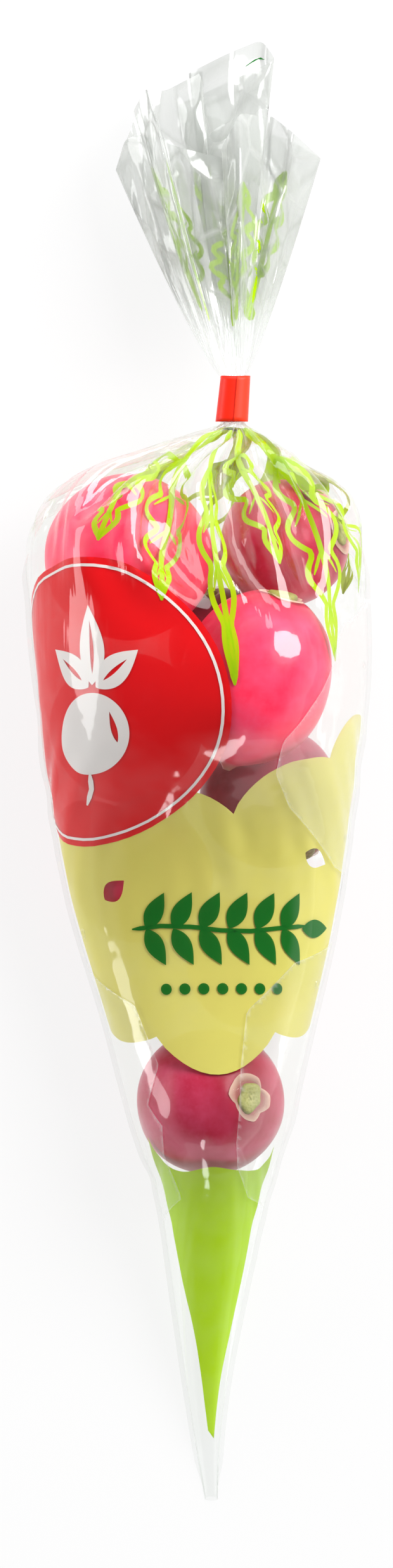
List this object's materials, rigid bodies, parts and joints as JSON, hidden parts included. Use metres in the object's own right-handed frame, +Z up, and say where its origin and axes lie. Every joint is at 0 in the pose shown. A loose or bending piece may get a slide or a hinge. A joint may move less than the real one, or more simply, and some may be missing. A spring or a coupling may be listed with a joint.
{
  "type": "bag of radishes",
  "caption": "Cone of clear printed film filled with trimmed round radishes, lying flat, its pleated mouth gathered and closed by a band of tape.",
  "frame": {"origin": "middle of the bag's box, on the surface that it lies on", "axes": "+Z up from the surface, +Y along the bag from its tip to its gathered mouth, +X to the right when seen from above with the mouth at the top"},
  "size_m": [0.0908, 0.3886, 0.0746],
  "materials": {
    "film": "clear glossy film",
    "tape": "glossy red tape",
    "radish_skin": "smooth waxy vegetable skin",
    "stalk": "dry cut leaf stalk",
    "red_ink": "red ink printed on the film",
    "white_ink": "white ink printed on the film",
    "yellow_ink": "pale yellow ink printed on the film",
    "lime_ink": "lime green ink printed on the film",
    "green_ink": "dark green ink printed on the film"
  },
  "bodies": {
    "root": {"bag_film": "film", "neck_tape": "tape", "radish_upper_left": "radish_skin", "radish_front": "radish_skin", "radish_right": "radish_skin", "radish_deep": "radish_skin", "radish_under_front": "radish_skin", "radish_left": "radish_skin", "radish_low_left": "radish_skin", "radish_low_right": "radish_skin", "radish_tip": "radish_skin"}
  },
  "joints": []
}
